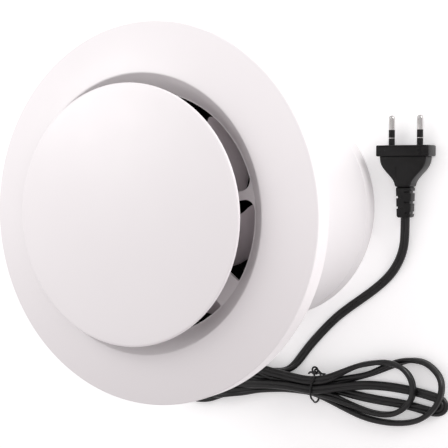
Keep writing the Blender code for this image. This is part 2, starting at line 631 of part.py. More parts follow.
def make_hank():
    near = [(near_x * MM, y * MM) for y, near_x, _ in HANK_EDGES]
    far = [(far_x * MM, y * MM) for y, _, far_x in reversed(HANK_EDGES)]
    extruded("cord_hank", near + far, 0, HANK_HEIGHT, "cord_sheath")
    inner, outer = (-112 * MM, -130.4 * MM), (-111 * MM, -131.4 * MM)
    top = HANK_HEIGHT + GAP
    arch = [(outer[0], 0), (outer[0], top + 1 * MM), (outer[1], top + 1 * MM), (outer[1], 0), (inner[1], 0),
            (inner[1], top), (inner[0], top), (inner[0], 0)]
    bm = bmesh.new()
    ends = [[bm.verts.new((x, TIE_Y + shift, z)) for x, z in arch] for shift in (-1.6 * MM, 1.6 * MM)]
    bm.faces.new(ends[0])
    bm.faces.new(ends[1])
    for step in range(len(arch)):
        following = (step + 1) % len(arch)
        bm.faces.new((ends[0][step], ends[0][following], ends[1][following], ends[1][step]))
    add_object("twist_tie", bm, "black_plastic")


def make_plug():
    """Flat two-pin plug on its side. The empty is where the cord meets it; local +X is to the pins."""
    anchor = bpy.data.objects.new("plug_anchor", None)
    bpy.context.scene.collection.objects.link(anchor)
    anchor.location = (PLUG_X, PLUG_Y, PLUG_AXIS_Z)
    anchor.rotation_euler.z = math.radians(PLUG_TURN)
    relief = turned("plug_strain_relief", [(0, 0), (3.6 * MM, 0), (4.4 * MM, 0.8 * MM), (5.2 * MM, 19.2 * MM),
                                           (0, 19.2 * MM)], 16, "black_plastic", parent=anchor)
    relief.rotation_euler.y = math.radians(90)
    side = [(19.6, 5.2), (22, 5.9), (25, 7.8), (28, 10.5), (31, 13.1), (34, 14.8), (39.4, 15.6)]
    outline = [(u * MM, v * MM) for u, v in side] + [(u * MM, -v * MM) for u, v in reversed(side)]
    body = extruded("plug_body", outline, -6 * MM, 6 * MM, "black_plastic", parent=anchor)
    flange = box("plug_flange", (38.8 * MM, -17.65 * MM, -6.85 * MM), (46 * MM, 17.65 * MM, 6.85 * MM), None,
                 parent=anchor)
    join(body, flange)
    bevel = body.modifiers.new("edges", "BEVEL")
    bevel.width = 0.9 * MM
    bevel.segments = 1
    for number, v in ((1, 9.5 * MM), (2, -9.5 * MM)):
        core = 1.2 * MM
        pin = turned(f"plug_pin_{number}", [(0, 46.3 * MM), (core, 46.3 * MM), (core, 56 * MM), (2 * MM, 56 * MM),
                                            (2 * MM, 63.6 * MM), (1.3 * MM, 64.8 * MM), (0, 65.2 * MM)],
                     14, "nickel", (0, v, 0), anchor)
        sleeve = turned(f"pin_sleeve_{number}", [(1.5 * MM, 46.3 * MM), (2 * MM, 46.3 * MM), (2 * MM, 55.7 * MM),
                                                 (1.5 * MM, 55.7 * MM)], 14, "black_plastic", (0, v, 0), anchor)
        for piece in (pin, sleeve):
            piece.rotation_euler.y = math.radians(90)


def main():
    clear_scene()
    make_materials()
    make_face_plate()
    make_front_disc()
    make_disc_posts()
    make_housing()
    make_wall_gasket()
    make_carrier()
    make_motor()
    make_rotor()
    make_impeller()
    make_damper_frame()
    for side in ("left", "right"):
        make_flap(side)
        make_spring(side)
    make_wiring()
    make_gland()
    make_cord()
    make_hank()
    make_plug()


main()
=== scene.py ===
"""Looks of the bathroom extractor fan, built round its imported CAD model.

Metres, +Z up, in the CAD model's frame: the fan stands face up on its spigot at the origin.
Lengths below are in millimetres and are scaled by MM where they are used.
"""
import math

import bmesh
import bpy
import numpy as np
from mathutils import Matrix, Vector


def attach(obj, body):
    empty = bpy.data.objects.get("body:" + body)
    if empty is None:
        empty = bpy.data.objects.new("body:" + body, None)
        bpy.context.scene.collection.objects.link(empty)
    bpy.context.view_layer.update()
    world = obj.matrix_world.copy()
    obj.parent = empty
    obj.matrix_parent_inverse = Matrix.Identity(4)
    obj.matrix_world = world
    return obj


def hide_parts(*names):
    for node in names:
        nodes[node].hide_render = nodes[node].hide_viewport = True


MM = 0.001
SHARP_ANGLE = 35
SWEEP_SHARP_ANGLE = 60
SPLINE_PARTS = 24

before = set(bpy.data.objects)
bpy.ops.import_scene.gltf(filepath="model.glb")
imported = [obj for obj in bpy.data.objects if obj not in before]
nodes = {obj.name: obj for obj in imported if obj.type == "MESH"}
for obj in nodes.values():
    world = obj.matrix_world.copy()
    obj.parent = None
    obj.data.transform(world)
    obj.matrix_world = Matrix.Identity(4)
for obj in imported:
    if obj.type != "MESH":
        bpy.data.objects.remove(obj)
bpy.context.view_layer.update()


# ---------------------------------------------------------------- mesh helpers

def finished(name, bm, sharp=SHARP_ANGLE):
    """Object from a bmesh, with outward faces and smooth shading between its sharp edges."""
    bmesh.ops.recalc_face_normals(bm, faces=bm.faces)
    mesh = bpy.data.meshes.new(name)
    bm.to_mesh(mesh)
    bm.free()
    mesh.shade_smooth()
    mesh.set_sharp_from_angle(angle=math.radians(sharp))
    item = bpy.data.objects.new(name, mesh)
    bpy.context.scene.collection.objects.link(item)
    return item


def reshaded(item, sharp):
    """Smooth shading again, with the edges that turn by more than sharp (degrees) left sharp."""
    item.data.shade_smooth()
    item.data.set_sharp_from_angle(angle=math.radians(sharp))
    return item


def polar(radius, degrees):
    """The (x, y) point at a radius and an angle."""
    angle = math.radians(degrees)
    return radius * math.cos(angle), radius * math.sin(angle)


def arc(centre, radius, start, end, steps):
    """Points of an arc between two angles, both ends included."""
    offsets = [polar(radius, start + (end - start) * step / steps) for step in range(steps + 1)]
    return [(centre[0] + x, centre[1] + y) for x, y in offsets]


def turned(name, outline, segments, centre=(0, 0)):
    """Solid of revolution about the vertical through centre, from (radius, height) points in mm."""
    bm = bmesh.new()
    rings = []
    for radius, height in outline:
        count = segments if radius > 0 else 1
        ring = []
        for step in range(count):
            x, y = polar(radius, 360 * step / segments)
            ring.append(bm.verts.new(((centre[0] + x) * MM, (centre[1] + y) * MM, height * MM)))
        rings.append(ring)
    pairs = list(zip(rings, rings[1:]))
    if len(rings[0]) > 1:
        pairs.append((rings[-1], rings[0]))
    for here, there in pairs:
        for step in range(segments):
            following = (step + 1) % segments
            corners = (here[step % len(here)], here[following % len(here)],
                       there[following % len(there)], there[step % len(there)])
            bm.faces.new(list(dict.fromkeys(corners)))
    return finished(name, bm)


def extruded(name, outline, bottom, top):
    """Prism on an (x, y) outline in mm, from one height to another."""
    bm = bmesh.new()
    lower = [bm.verts.new((x * MM, y * MM, bottom * MM)) for x, y in outline]
    upper = [bm.verts.new((x * MM, y * MM, top * MM)) for x, y in outline]
    bm.faces.new(lower)
    bm.faces.new(upper)
    for step in range(len(outline)):
        following = (step + 1) % len(outline)
        bm.faces.new((lower[step], lower[following], upper[following], upper[step]))
    return finished(name, bm)


def block(name, low, high):
    """Box between two opposite corners (x, y, z) in mm."""
    outline = ((low[0], low[1]), (high[0], low[1]), (high[0], high[1]), (low[0], high[1]))
    return extruded(name, outline, low[2], high[2])


def applied(item):
    """The object with its modifiers made real."""
    bpy.context.view_layer.update()
    evaluated = item.evaluated_get(bpy.context.evaluated_depsgraph_get())
    mesh = bpy.data.meshes.new_from_object(evaluated)
    item.modifiers.clear()
    item.data = mesh
    return item


def carved(item, others, operation="DIFFERENCE"):
    """Cut or join helper objects into item, then remove them."""
    for other in others:
        modifier = item.modifiers.new(other.name, "BOOLEAN")
        modifier.operation = operation
        modifier.object = other
    applied(item)
    for other in others:
        bpy.data.objects.remove(other, do_unlink=True)
    return item


def eased(item, width, segments=2, angle=SHARP_ANGLE):
    """Round the object's sharp edges by width in mm."""
    bevel = item.modifiers.new("edges", "BEVEL")
    bevel.width = width * MM
    bevel.segments = segments
    bevel.limit_method = "ANGLE"
    bevel.angle_limit = math.radians(angle)
    bevel.harden_normals = True
    weighted = item.modifiers.new("normals", "WEIGHTED_NORMAL")
    weighted.keep_sharp = True
    return applied(item)


def swept(name, path, section, sides, twists=None):
    """Closed sweep of section, (across, up) points in mm, along path; sides are its across directions."""
    bm = bmesh.new()
    rings = []
    for index, place in enumerate(path):
        before, after = path[max(index - 1, 0)], path[min(index + 1, len(path) - 1)]
        along = (after - before).normalized()
        side = (sides[index] - along * sides[index].dot(along)).normalized()
        up = side.cross(along)
        turn = math.radians(twists[index]) if twists else 0
        across = side * math.cos(turn) + up * math.sin(turn)
        rise = up * math.cos(turn) - side * math.sin(turn)
        rings.append([bm.verts.new(place + (across * a + rise * b) * MM) for a, b in section])
    for here, there in zip(rings, rings[1:]):
        for step in range(len(section)):
            following = (step + 1) % len(section)
            bm.faces.new((here[step], here[following], there[following], there[step]))
    bm.faces.new(rings[0])
    bm.faces.new(rings[-1])
    return finished(name, bm, SWEEP_SHARP_ANGLE)


def smooth_path(route, step, passes=0):
    """Rows about one step (mm) apart on a Catmull-Rom curve through the route's rows (x, y, z, ...)."""
    rows = [np.array(row, float) for row in route]
    guides = [2 * rows[0] - rows[1]] + rows + [2 * rows[-1] - rows[-2]]
    fine = []
    for before, start, end, after in zip(guides, guides[1:], guides[2:], guides[3:]):
        for part in range(SPLINE_PARTS):
            t = part / SPLINE_PARTS
            fine.append(0.5 * (2 * start + (end - before) * t
                               + (2 * before - 5 * start + 4 * end - after) * t ** 2
                               + (3 * start - before - 3 * end + after) * t ** 3))
    fine = np.array(fine + [rows[-1]])
    travelled = np.concatenate([[0], np.cumsum(np.linalg.norm(np.diff(fine[:, :3], axis=0), axis=1))])
    goals = np.linspace(0, travelled[-1], max(2, round(travelled[-1] / step)) + 1)
    even = np.stack([np.interp(goals, travelled, column) for column in fine.T], axis=1)
    for _ in range(passes):
        even[1:-1] = 0.25 * even[:-2] + 0.5 * even[1:-1] + 0.25 * even[2:]
    return even


def stands_for(piece, body, slot, *replaced):
    """Put a piece on its body in place of the CAD nodes it replaces; the slot argument is not used."""
    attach(piece, body)
    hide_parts(*replaced)


# ---------------------------------------------------------------- camera

CAMERA_EYE = (15.2, -362.3, 684.7)
CAMERA_TARGET = (-6.5, -37.9, 133.5)
CAMERA_UP = (1, 0, -0.0393)
LENS = 90.7
SENSOR = 36
VIEW_DEPTH = 20


def make_camera():
    """Camera above the disc and towards -Y, with +X upwards in the picture."""
    data = bpy.data.cameras.new("camera")
    data.lens = LENS
    data.sensor_width = SENSOR
    data.clip_end = VIEW_DEPTH
    camera = bpy.data.objects.new("camera", data)
    bpy.context.scene.collection.objects.link(camera)
    eye, target = Vector(CAMERA_EYE) * MM, Vector(CAMERA_TARGET) * MM
    back = (eye - target).normalized()
    right = Vector(CAMERA_UP).cross(back).normalized()
    up = back.cross(right)
    camera.matrix_world = Matrix.Translation(eye) @ Matrix((right, up, back)).transposed().to_4x4()
    bpy.context.scene.camera = camera


# ---------------------------------------------------------------- cord

# The flex is a flat twin: two lobes side by side with a groove between them.
LOBE_RADIUS = 1.75
LOBE_OFFSET = 1.25
LOBE_FACETS = 14
FLEX_STEP = 1.6
FLEX_SMOOTHING = 6
GLAND = (-88, 25)

# The drop's points are x, y, z. Each later point is x, y, the height of what the flex lies on there,
# and how far it's turned on edge (degrees).
DROP = [(-88, 25, 115.7), (-88, 25, 100), (-88.5, 25, 80), (-89, 25.5, 58), (-89.5, 27, 38),
        (-90, 31, 21), (-90.5, 38, 9.4), (-90.8, 46, 3.6), (-91, 53, 1.9)]
FIRST_FOLD = [(-91.2, 62, 0, 75), (-92.6, 72, 0, 88), (-99.5, 82, 0, 90), (-108.5, 87.4, 0, 90),
              (-118.5, 87.5, 0, 90), (-128, 83, 0, 90), (-134.5, 74, 0, 90), (-136.6, 64, 0, 70),
              (-135.4, 54, 0, 30)]
UNDER_RUN = [(-131.6, 44, 0, 0), (-127.9, 31, 0, 0), (-126, 18, 0, 0), (-124.2, 6, 0, 0),
             (-123.5, -6, 0, 0), (-123.9, -18, 0.4, 0), (-125.2, -30.5, 1.2, 5)]
WIDE_LOOP = [(-129.2, -41.5, 0.4, 50), (-134.4, -52.7, 0, 85), (-138.2, -62.8, 0, 90),
             (-140.2, -72.3, 0, 90), (-141, -82.2, 0, 90), (-140.5, -91.7, 0, 90),
             (-138.1, -101.4, 1.6, 90), (-133.7, -109.4, 3.6, 90), (-127.6, -115.6, 4, 90),
             (-121.5, -119, 4.1, 90), (-115.6, -120.2, 3.8, 90), (-109.4, -118.8, 1.8, 90),
             (-104.4, -114.4, 0.6, 90), (-100.3, -108.4, 0, 90), (-99.1, -102, 0, 90),
             (-99.6, -95.1, 0, 75), (-101.8, -88.3, 0, 50), (-105, -80.6, 0, 50), (-109.5, -70.9, 0, 75),
             (-112.5, -61, 0, 65), (-115.1, -50.9, 1.3, 25), (-117.2, -40.8, 3.7, 5),
             (-117.4, -30.5, 4.8, 0)]
UPPER_RUN_ONE = [(-117.3, -19, 4.3, 0), (-116.9, -8, 3.9, 0), (-115.2, 1, 6.2, 0), (-113, 8, 5.8, 0),
                 (-111.8, 14, 3.5, 0), (-111.3, 19.5, 1.6, 0), (-109.6, 28.5, 0, 15), (-106, 39, 0, 50),
                 (-101, 50, 0, 85), (-99, 60, 0, 90), (-99.8, 68, 0, 90), (-104, 75.5, 0, 90),
                 (-111, 79.2, 0, 90), (-118, 78.8, 0, 90), (-124.6, 74.6, 0, 90), (-128.3, 67, 0, 90),
                 (-129.2, 59, 1.5, 60), (-129.8, 51, 6, 20), (-130.6, 43.5, 7.3, 0), (-129.3, 35, 6.3, 0),
                 (-128.1, 25, 3.9, 0), (-125.6, 14, 3.5, 0), (-124.2, 3, 3.5, 0), (-123.3, -8, 3.6, 0),
                 (-123.3, -19, 4.1, 0), (-123.8, -30.5, 4.8, 5)]
NARROW_LOOP = [(-126, -43.2, 4.1, 35), (-128.8, -50, 2.6, 70), (-131.4, -56.5, 0.6, 85),
               (-134.2, -65.3, 0, 90), (-135.8, -74.3, 0, 90), (-135.4, -83.4, 0.7, 90),
               (-131.9, -92, 3.2, 90), (-123.9, -99.7, 3.7, 90), (-116.7, -101, 3.7, 90),
               (-110.7, -99.9, 3.9, 90), (-105.4, -96.4, 4.8, 80), (-101.9, -90.5, 6, 65),
               (-100.9, -82.4, 5.2, 70), (-102.5, -71.6, 1.9, 90), (-105.1, -61.3, 1.2, 90),
               (-109.6, -51.4, 4.6, 70), (-114, -42.2, 7.4, 20), (-116, -30.5, 8.3, 0)]
UPPER_RUN_TWO = [(-115.2, -19, 7.9, 0), (-113.6, -8, 7.5, 0), (-111.6, 1, 9.2, 0), (-109.8, 8, 9, 0),
                 (-108.3, 14, 6.7, 0), (-107, 19.5, 4.6, 0), (-104.2, 27.5, 2, 15), (-100.4, 38, 0, 50),
                 (-96.6, 50, 0, 85), (-95.7, 60, 0, 90), (-96.3, 70, 0, 90), (-101, 78.2, 0, 90),
                 (-109, 82.6, 0, 90), (-119, 82.6, 0, 90), (-127, 78.2, 0, 90), (-131.8, 70.5, 0, 90),
                 (-132.6, 62, 0, 85), (-131.4, 54, 0.8, 45), (-129.2, 47.5, 3.4, 10), (-126, 40, 3.6, 0),
                 (-122.9, 29, 4.3, 0), (-121.8, 16, 6.9, 0), (-121, 4, 7.1, 0), (-120.8, -8, 7.2, 0),
                 (-121.4, -19, 7.7, 0), (-122.2, -30.5, 8.3, 0)]
CROSSING = [(-120.7, -41.8, 7, 0), (-119.3, -51, 5, 0), (-118.2, -60.5, 2.2, 0), (-117.6, -70.2, 0, 0),
            (-117.8, -84.8, 0, 0), (-119.1, -97.7, 0, 0), (-120.8, -107.4, 0, 0), (-121.9, -112.4, 0, 5),
            (-122.6, -116, 0, 10), (-124, -119.2, 0, 15), (-127.2, -120.6, 0, 20),
            (-130.4, -119.2, 0, 15), (-131.8, -116, 0, 10), (-131.7, -112.4, 0, 5),
            (-130.9, -106.4, 0, 0), (-129.3, -98.9, 0, 0), (-128, -89.4, 0, 0), (-126.9, -74.9, 0, 0),
            (-125.2, -60.3, 0, 0), (-122.4, -45.4, 0.2, 0), (-119, -30.5, 1.2, 0)]
LAST_RUN = [(-118.3, -19, 0.6, 0), (-117.6, -8, 0, 0), (-117.8, 1, 2, 0), (-118.4, 8, 4.4, 0),
            (-118.1, 15, 3.6, 0), (-116.9, 24, 3.5, 0), (-115, 34, 2.2, 10), (-109.8, 43, 0, 50),
            (-104.8, 52, 0, 85), (-102.6, 60, 0, 90), (-103.2, 68, 0, 90), (-107.6, 74, 0, 90),
            (-114, 76, 0, 90), (-120, 74, 0, 90), (-124.1, 67.8, 0, 90), (-124.8, 60, 0, 90),
            (-124.5, 50, 0, 30), (-123.8, 40, 0, 0), (-121.5, 30, 0, 0), (-118.4, 20, 0, 0),
            (-115.2, 11, 0, 20), (-112.9, 3, 0, 65), (-112.3, -4, 0, 85), (-110.9, -9.6, 0, 60)]
LEAD = [(-107.9, -14, 0, 25), (-103.8, -17.6, 0, 0), (-94, -25.6, 0, 0), (-84.1, -35, 0, 0),
        (-74.3, -45.4, 0, 0), (-66.6, -55.7, 0, 0), (-59.8, -65.7, 0, 0), (-52.6, -75.7, 0, 0),
        (-44.3, -84.9, 0.2, 0), (-34.3, -91.8, 1.3, 0), (-24.8, -95.3, 2.6, 0), (-16.3, -96.7, 4.3, 0),
        (-5.9, -97.45, 5.15, 0)]


def flex_route():
    """The whole route with each point's own height in place of the height of what it lies on."""
    route = [(*place, 0) for place in DROP]
    lying = (FIRST_FOLD + UNDER_RUN + WIDE_LOOP + UPPER_RUN_ONE + NARROW_LOOP + UPPER_RUN_TWO + CROSSING
             + LAST_RUN + LEAD)
    for x, y, under, edge in lying:
        half_height = LOBE_RADIUS + LOBE_OFFSET * abs(math.sin(math.radians(edge)))
        route.append((x, y, under + half_height, edge))
    return route


def flex_section():
    """Outline of the two lobes, (across, up), with the groove between them."""
    waist = math.degrees(math.acos(LOBE_OFFSET / LOBE_RADIUS))
    right = arc((LOBE_OFFSET, 0), LOBE_RADIUS, waist - 180, 180 - waist, LOBE_FACETS)
    left = arc((-LOBE_OFFSET, 0), LOBE_RADIUS, waist, 360 - waist, LOBE_FACETS)
    return right + left[1:-1]


def make_cord():
    """The flex and its centreline; sides follow +X down the drop and lie level after it."""
    rows = smooth_path(flex_route(), FLEX_STEP, FLEX_SMOOTHING)
    path = [Vector(row[:3]) * MM for row in rows]
    drop_end = DROP[-1][2] * MM
    landed = next(index for index, place in enumerate(path) if place.z < drop_end + MM)
    sides = []
    for index, place in enumerate(path):
        along = path[min(index + 1, len(path) - 1)] - path[max(index - 1, 0)]
        level = along.cross(Vector((0, 0, 1)))
        sides.append(Vector((1, 0, 0)) if index < landed else level.normalized())
    cord = swept("supply_cord", path, flex_section(), sides, list(rows[:, 3]))
    return cord, path


TIE_RADIUS = 0.65
TIE_FACETS = 12
TIE_STEP = 0.45
TIE_SMOOTHING = 2


def carried_sides(path):
    """Across directions that turn as little as they can along the path."""
    side = Vector((0, 1, 0))
    sides = []
    for index in range(len(path)):
        along = (path[min(index + 1, len(path) - 1)] - path[max(index - 1, 0)]).normalized()
        side = (side - along * side.dot(along)).normalized()
        sides.append(side.copy())
    return sides


def make_tie():
    """Wire tie round the hank, knotted in a small bow beside it."""
    near, far, top = -112, -131.6, 12.5
    tail = [(near + 0.6, -28.4, top - 3), (near + 1.8, -30.2, top - 2.2), (near + 1.2, -32.6, top - 1.4)]
    ring = [(near - 0.6, -34, top - 0.3), (-115.4, -32.8, top), (-119, -31.4, top + 0.1),
            (-123, -30.8, top), (-127, -30.6, 11.4), (-129.6, -30.4, 8), (far, -30.2, 4.4),
            (far + 0.2, -30.6, 1.8), (-129.6, -31.2, 0.7), (-125, -31.8, 0.7), (-119, -32.4, 0.7),
            (-114.4, -33, 0.9), (near, -33.4, 3), (near + 0.6, -33.8, 6.6),
            (near + 0.8, -34.2, top - 2.6)]
    bow = [(near + 1.4, -33.2, top - 1.4), (near + 3, -32.2, top - 1), (near + 4.8, -32.2, top - 1.4),
           (near + 5.4, -33.6, top - 2), (near + 4.6, -35.2, top - 2), (near + 3, -35.8, top - 1.8),
           (near + 1.8, -34.4, top - 2.6), (near + 2.6, -32.6, top - 3.2), (near + 3.8, -33.8, top - 3.2),
           (near + 2.8, -35.8, top - 3), (near + 1, -37.8, top - 3.2), (near + 0.8, -40.4, top - 4)]
    rows = smooth_path(tail + ring + bow, TIE_STEP, TIE_SMOOTHING)
    path = [Vector(row) * MM for row in rows]
    section = arc((0, 0), TIE_RADIUS, 0, 360, TIE_FACETS)[:-1]
    return swept("wire_tie", path, section, carried_sides(path))


# ---------------------------------------------------------------- gland

RIBS = 7
RIBS_TOP = 141
RIBS_BOTTOM = 117
RIB_WIDEST = 5.6
RIBS_TAPER = 2.2
RIB_DEPTH = 1.0
GLAND_FACETS = 48


def make_gland():
    """Gland nut and ribbed, tapered strain relief."""
    nut = [(0, 151), (6.2, 151), (6.8, 150.6), (7, 150), (7, 148.9), (4.9, 148.9), (4.9, 145.8),
           (7, 145.8), (7, 142.4), (6.6, 141.8), (5.7, 141.6)]
    pitch = (RIBS_TOP - RIBS_BOTTOM) / RIBS
    ribs = []
    for number in range(RIBS):
        height = RIBS_TOP + (RIBS_BOTTOM - RIBS_TOP) * number / RIBS
        radius = RIB_WIDEST - RIBS_TAPER * number / RIBS
        ribs += [(radius, height - 0.1 * pitch), (radius - 0.2, height - 0.6 * pitch),
                 (radius - RIB_DEPTH, height - 0.7 * pitch), (radius - RIB_DEPTH, height - 0.9 * pitch)]
    tip = [(3.3, 116.8), (3.1, 116.2), (2.9, 116), (0, 116)]
    return eased(turned("gland_body", nut + ribs + tip, GLAND_FACETS, GLAND), 0.2)


# ---------------------------------------------------------------- plug

PLUG_PLACE = (-7.4, -97.4, 6.9)
PLUG_TURN = -1.3
# Half of the moulding's plan from the sleeve to the flange: distance along the plug, half width.
PLUG_SIDE = ((19.6, 5.2), (21.6, 5.5), (24, 6.7), (26.5, 8.8), (29, 11.2), (31.5, 13.3), (34, 14.7),
             (36.5, 15.4), (39.4, 15.6))
PLUG_SIDE_STEP = 1.2
PLUG_HALF_HEIGHT = 6
PLUG_SHARP_ANGLE = 30
MOULDED_EDGES = 50
RIM_CORNERS = ((38.9, -17.65, -6.85), (46, 17.65, 6.85))
PANEL_CORNERS = ((25, -4.4, 5.7), (32.5, 4.4, 8))
SEAM_CORNERS = ((45, -15.5, 6.65), (45.3, 15.5, 8))
CORE_CORNERS = ((0.8, -4, -2.9), (18.6, 4, 2.9))
SLOTS = 5
FIRST_SLOT = 2.4
SLOT_PITCH = 3.3
SLOT_WIDTH = 1.4
SLOT_WAIST = 0.9
SLOT_REACH = 8
PIN_OFFSET = 9.5
PIN_RADIUS = 2
PIN_FACETS = 32
PIN_CORE = 1.7
PIN_START = 45.8
PIN_END = 65.2
SLEEVE_END = 55.8
RING_LOW = 50.4
RING_HIGH = 50.8
SLEEVE_STEP = 0.02


def placed_on_plug(item):
    """Move a piece made along +X from the cord's end of the plug to where the plug lies."""
    item.data.transform(Matrix.Translation(Vector(PLUG_PLACE) * MM)
                        @ Matrix.Rotation(math.radians(PLUG_TURN), 4, "Z"))
    return item


def laid(item):
    """Turn a piece made about +Z so that it lies along +X."""
    item.data.transform(Matrix.Rotation(math.radians(90), 4, "Y"))
    return item


def make_plug_body():
    """Grip and flange in one moulding, with a blank recessed panel on the grip."""
    rows = smooth_path([(along, aside, 0) for along, aside in PLUG_SIDE], PLUG_SIDE_STEP)
    side = [(row[0], row[1]) for row in rows]
    outline = side + [(along, -aside) for along, aside in reversed(side)]
    body = extruded("plug_moulding", outline, -PLUG_HALF_HEIGHT, PLUG_HALF_HEIGHT)
    eased(body, 1.5, 4, MOULDED_EDGES)
    carved(body, [eased(block("plug_rim", *RIM_CORNERS), 0.7, 3)], "UNION")
    carved(body, [block("blank_panel", *PANEL_CORNERS), block("seam_line", *SEAM_CORNERS)])
    return placed_on_plug(reshaded(body, PLUG_SHARP_ANGLE))


def make_plug_relief():
    """Tapered sleeve with slots that alternate from side to side, so that it bends with the cord."""
    length, narrow, wide, half = 19.58, 4.6, 5.3, 4.3
    outline = ((0, narrow), (length, wide), (length, -wide), (0, -narrow))
    relief = eased(extruded("plug_sleeve", outline, -half, half), 1.3, 4, MOULDED_EDGES)
    slots = []
    for number in range(SLOTS):
        start = FIRST_SLOT + SLOT_PITCH * number
        sign = 1 if number % 2 else -1
        low, high = sorted((sign * SLOT_WAIST, sign * SLOT_REACH))
        slots.append(block(f"slot_{number}", (start, low, -SLOT_REACH),
                           (start + SLOT_WIDTH, high, SLOT_REACH)))
    carved(relief, slots)
    carved(relief, [block("slot_core", *CORE_CORNERS)], "UNION")
    return placed_on_plug(reshaded(relief, PLUG_SHARP_ANGLE))


def make_pin(number, aside):
    """A round-nosed pin with a bare ring in its sleeve, and the sleeve's two bands."""
    nose = [math.radians(turn) for turn in (0, 15, 30, 45, 60, 75)]
    tip = [(PIN_RADIUS * math.cos(turn) ** 0.8, PIN_END - 2 + 2 * math.sin(turn)) for turn in nose]
    ring = PIN_RADIUS - SLEEVE_STEP
    outline = [(0, PIN_START), (PIN_CORE, PIN_START), (PIN_CORE, RING_LOW), (ring, RING_LOW),
               (ring, RING_HIGH), (PIN_CORE, RING_HIGH), (PIN_CORE, SLEEVE_END), (PIN_RADIUS, SLEEVE_END)]
    pin = laid(turned(f"pin_{number}", outline + tip + [(0, PIN_END)], PIN_FACETS))
    bands = []
    for low, high in ((PIN_START, RING_LOW), (RING_HIGH, SLEEVE_END)):
        band = [(PIN_CORE, low), (PIN_RADIUS, low + SLEEVE_STEP), (PIN_RADIUS, high - SLEEVE_STEP),
                (PIN_CORE, high)]
        bands.append(laid(turned(f"band_{low}", band, PIN_FACETS)))
    sleeve = carved(bands[0], [bands[1]], "UNION")
    sleeve.name = f"sleeve_{number}"
    for piece in (pin, sleeve):
        piece.data.transform(Matrix.Translation((0, aside * MM, 0)))
        placed_on_plug(piece)
    return pin, sleeve


# ---------------------------------------------------------------- cover and disc

PLATE_RADIUS = 108.6
RIM_BACK = 144.1
RIM_FRONT = 156.6
PLATE_CROWN = 8
LIP_RADIUS = 79.7
THROAT_RADIUS = 69.3
WEB_TOP = 153.1
WEB_THICKNESS = 2.5
SHELL = 2.2
WEB_HUB_RADIUS = 38
NARROW_SPOKES = (-81, 39, 159)
WIDE_SPOKE = -130
NARROW_SPOKE_WIDTH = 4.9
WIDE_SPOKE_WIDTH = 17.3
APERTURE_FILLET = 6
SHARP_FILLET = 1.2
APERTURE_LEDGE = 0.5
LIP_ROUND = 1.4
RIM_ROUND = 1.2
RIM_DROP = 0.75
FACE_STEPS = 20
FILLET_STEPS = 10
CUT_BELOW = 6
CUT_ABOVE = 4
POST_CIRCLE = 26
SCREW_HOLE_RADIUS = 1.9
SCREW_HOLE_LOW = 145
SCREW_HOLE_HIGH = 156
HOLE_FACETS = 24
DISC_RADIUS = 72.8
DISC_EDGE_TOP = 177.5
DISC_CROWN = 3.7
DISC_THICKNESS = 2.2
ROUND = 240


def face_height(radius):
    """Height of the face plate's crowned front at a radius."""
    share = (radius - LIP_RADIUS) / (PLATE_RADIUS - LIP_RADIUS)
    return RIM_FRONT + PLATE_CROWN * (1 - share ** 1.35)


def plate_outline():
    """Section of the face plate: front from the centre to the rim, then back under it."""
    lip_top = RIM_FRONT + PLATE_CROWN
    slope = math.degrees(math.atan2(LIP_RADIUS - THROAT_RADIUS - 0.5, lip_top - WEB_TOP - 0.5))
    lean = slope * 0.45
    front = [(0, WEB_TOP), (THROAT_RADIUS, WEB_TOP)]
    for turn in range(7):
        x, y = polar(LIP_ROUND, 180 - lean - turn * (90 - lean) / 6)
        front.append((LIP_RADIUS + x, lip_top - LIP_ROUND + y))
    for step in range(1, FACE_STEPS):
        radius = LIP_RADIUS + (PLATE_RADIUS - RIM_ROUND - LIP_RADIUS) * step / (FACE_STEPS - 1)
        front.append((radius, face_height(radius)))
    for turn in (60, 42, 24, 8):
        x, y = polar(RIM_ROUND, turn)
        front.append((PLATE_RADIUS - RIM_ROUND + x, RIM_FRONT - RIM_DROP + y))
    back = [(PLATE_RADIUS, RIM_BACK + 0.3), (PLATE_RADIUS - 0.3, RIM_BACK),
            (PLATE_RADIUS - SHELL, RIM_BACK), (PLATE_RADIUS - SHELL, RIM_FRONT - SHELL)]
    for share in (0.75, 0.5, 0.25):
        radius = LIP_RADIUS + share * (PLATE_RADIUS - LIP_RADIUS)
        back.append((radius, face_height(radius) - SHELL))
    back += [(LIP_RADIUS + 1, lip_top - SHELL), (THROAT_RADIUS + SHELL, WEB_TOP - 0.6)]
    web_bottom = WEB_TOP - WEB_THICKNESS
    back += [(THROAT_RADIUS + SHELL, web_bottom), (0, web_bottom)]
    return front + back


